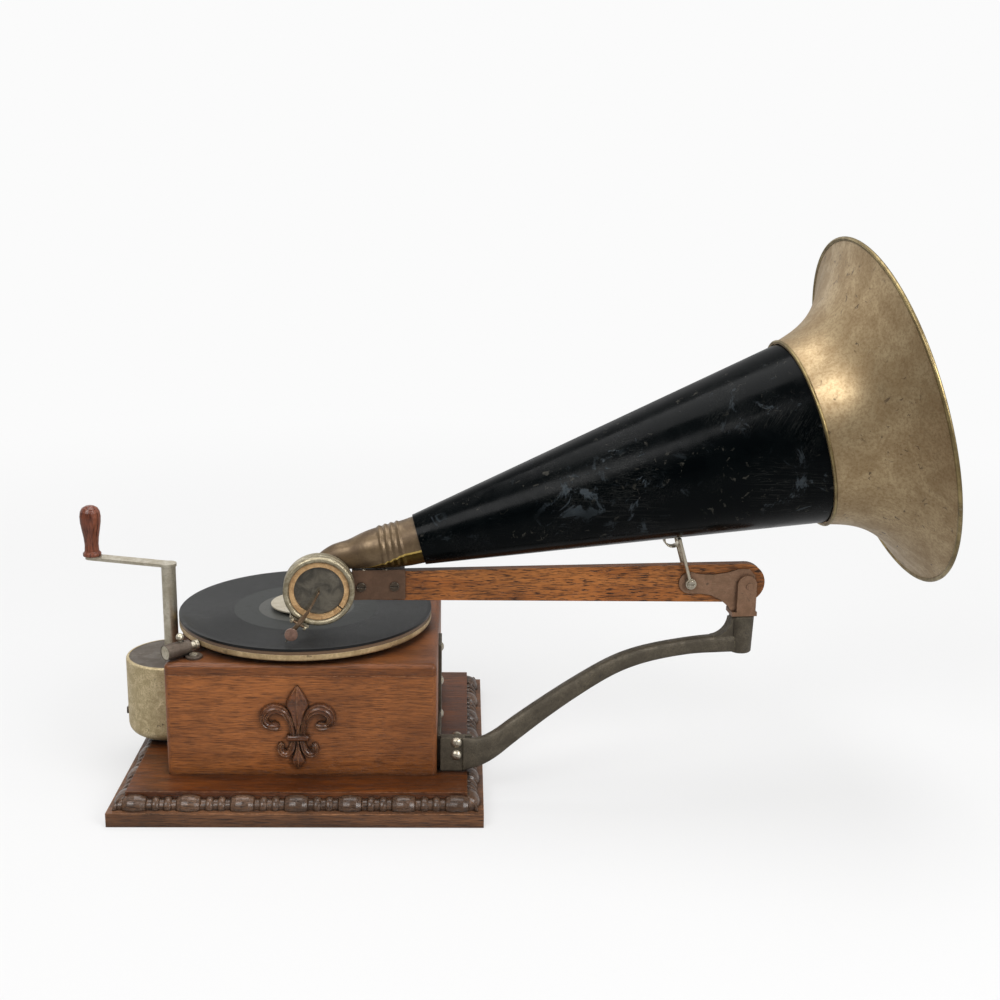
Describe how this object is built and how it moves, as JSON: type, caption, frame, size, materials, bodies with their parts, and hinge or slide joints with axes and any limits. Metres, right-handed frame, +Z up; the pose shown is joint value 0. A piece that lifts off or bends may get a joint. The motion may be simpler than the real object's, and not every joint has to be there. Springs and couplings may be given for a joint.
{
  "type": "horn gramophone",
  "caption": "Hand wound horn gramophone with an oak case, side spring drum and crank, turntable with record, swinging horn arm, sound box and flared horn.",
  "frame": {"origin": "centre of the base slab's underside", "axes": "+X to the right towards the horn mouth, +Y away from the front, +Z up"},
  "size_m": [0.5796, 0.2549, 0.3704],
  "materials": {
    "dark_oak": "satin, darkened",
    "oak": "satin varnish",
    "drum_plate": "worn nickel plate",
    "bronzed_cap": "matt",
    "screw_steel": "tarnished",
    "motor_steel": "plain",
    "motor_brass": "plain",
    "barrel_steel": "plain",
    "spring_steel": "blued",
    "worn_nickel": "worn nickel",
    "needle_steel": "polished",
    "stained_wood": "gloss stain",
    "cream_enamel": "aged plate",
    "felt": "faded felt",
    "shellac": "gloss",
    "dark_steel": "tarnished",
    "cast_bracket": "old paint",
    "bronzed_steel": "bronzed",
    "arm_wood": "satin varnish",
    "elbow_brass": "brown patina",
    "japanned": "gloss black, scuffed",
    "bell_brass": "dull lacquer",
    "gasket": "aged",
    "mica": "dark sheet"
  },
  "bodies": {
    "base_body": {"base_slab": "dark_oak", "base_top_board": "dark_oak", "carved_band": "dark_oak", "case_front": "oak", "case_back": "oak", "case_left": "oak", "case_right": "oak", "case_top": "oak", "carved_lily": "oak", "drum_housing": "drum_plate", "drum_cap": "bronzed_cap", "drum_screws": "screw_steel", "motor_lower_plate": "motor_steel", "motor_upper_plate": "motor_brass", "motor_pillars": "motor_brass", "brake_bracket": "dark_steel", "brake_tube": "dark_steel", "brake_screws": "screw_steel", "side_plate": "cast_bracket", "side_plate_screws": "screw_steel", "support_bracket": "cast_bracket", "bracket_bolts": "screw_steel"},
    "table_body": {"spindle": "worn_nickel", "governor_wheel": "motor_brass", "turntable": "cream_enamel", "turntable_felt": "felt", "record": "shellac", "record_clamp": "worn_nickel"},
    "second_arbor_body": {"second_arbor": "motor_brass"},
    "first_arbor_body": {"first_arbor": "motor_brass"},
    "barrel_body": {"spring_barrel": "barrel_steel", "barrel_gear": "motor_brass", "mainspring": "spring_steel"},
    "governor_body": {"governor_shaft": "motor_steel", "governor_weights": "motor_brass"},
    "crank_body": {"crank_shaft": "worn_nickel", "ratchet_wheel": "motor_steel", "crank_arm": "worn_nickel"},
    "handle_body": {"crank_handle": "stained_wood"},
    "pawl_body": {"ratchet_pawl": "motor_steel"},
    "brake_body": {"brake_rod": "worn_nickel"},
    "swivel_body": {"swivel_fork": "bronzed_steel", "hinge_pin": "bronzed_steel"},
    "arm_body": {"horn_arm": "arm_wood", "arm_cheeks": "bronzed_steel", "front_clip": "bronzed_steel", "clip_screws": "screw_steel", "crutch": "dark_steel", "crutch_screws": "screw_steel", "elbow": "elbow_brass", "horn_cone": "japanned", "horn_bell": "bell_brass", "horn_hook": "dark_steel"},
    "sound_box_body": {"sound_box_shell": "worn_nickel", "sound_box_gaskets": "gasket", "diaphragm": "mica", "stylus_spring": "spring_steel"},
    "stylus_body": {"stylus_bar": "bronzed_steel", "needle": "needle_steel"},
    "needle_screw_body": {"needle_screw": "worn_nickel"}
  },
  "joints": [
    {"name": "table_spin", "type": "hinge", "parent": "base_body", "child": "table_body", "pos_m": [-0.0039, 0.0018, 0.08], "axis": [0, 0, 1], "continuous": true},
    {"name": "second_arbor_spin", "type": "hinge", "parent": "base_body", "child": "second_arbor_body", "pos_m": [-0.03682, 0.00925, 0.05], "axis": [0, 0, 1], "continuous": true},
    {"name": "first_arbor_spin", "type": "hinge", "parent": "base_body", "child": "first_arbor_body", "pos_m": [-0.06559, 0.00075, 0.05], "axis": [0, 0, 1], "continuous": true},
    {"name": "barrel_spin", "type": "hinge", "parent": "base_body", "child": "barrel_body", "pos_m": [-0.0977, -0.005, 0.04], "axis": [0, 0, 1], "continuous": true},
    {"name": "governor_spin", "type": "hinge", "parent": "base_body", "child": "governor_body", "pos_m": [0.01494, -0.01139, 0.05], "axis": [0, 0, 1], "continuous": true},
    {"name": "crank_turn", "type": "hinge", "parent": "base_body", "child": "crank_body", "pos_m": [-0.0977, -0.005, 0.075], "axis": [0, 0, 1], "continuous": true},
    {"name": "handle_spin", "type": "hinge", "parent": "crank_body", "child": "handle_body", "pos_m": [-0.15398, 0.01167, 0.16], "axis": [0, 0, 1], "continuous": true},
    {"name": "pawl_lift", "type": "hinge", "parent": "base_body", "child": "pawl_body", "pos_m": [-0.1157, 0.007, 0.071], "axis": [0, 0, 1], "range_deg": [0, 12]},
    {"name": "brake_slide", "type": "slide", "parent": "base_body", "child": "brake_body", "axis": [0.7071, 0.7071, 0], "range_m": [0, 0.0012]},
    {"name": "arm_swing", "type": "hinge", "parent": "base_body", "child": "swivel_body", "pos_m": [0.29751, -0.02622, 0.11], "axis": [0, 0, 1], "range_deg": [-7.5, 35]},
    {"name": "arm_lift", "type": "hinge", "parent": "swivel_body", "child": "arm_body", "pos_m": [0.3, -0.026, 0.1364], "axis": [-0.0872, 0.9962, 0], "range_deg": [0, 20]},
    {"name": "sound_box_turn", "type": "hinge", "parent": "arm_body", "child": "sound_box_body", "pos_m": [0.01134, -0.05627, 0.1428], "axis": [-0.0872, 0.9962, 0], "range_deg": [0, 65]},
    {"name": "stylus_rock", "type": "hinge", "parent": "sound_box_body", "child": "stylus_body", "pos_m": [-0.00057, -0.07448, 0.1221], "axis": [0.8353, 0.0731, -0.5448], "range_deg": [-0.4, 0.4]},
    {"name": "needle_screw_turn", "type": "hinge", "parent": "stylus_body", "child": "needle_screw_body", "pos_m": [-0.00499, -0.07728, 0.1164], "axis": [-0.0872, 0.9962, 0], "range_deg": [0, 360]}
  ],
  "couplings": [
    {"joint": "second_arbor_spin", "follows": "table_spin", "ratio": -0.5},
    {"joint": "first_arbor_spin", "follows": "table_spin", "ratio": 0.125},
    {"joint": "barrel_spin", "follows": "table_spin", "ratio": -0.026042},
    {"joint": "governor_spin", "follows": "table_spin", "ratio": -6.6667}
  ]
}
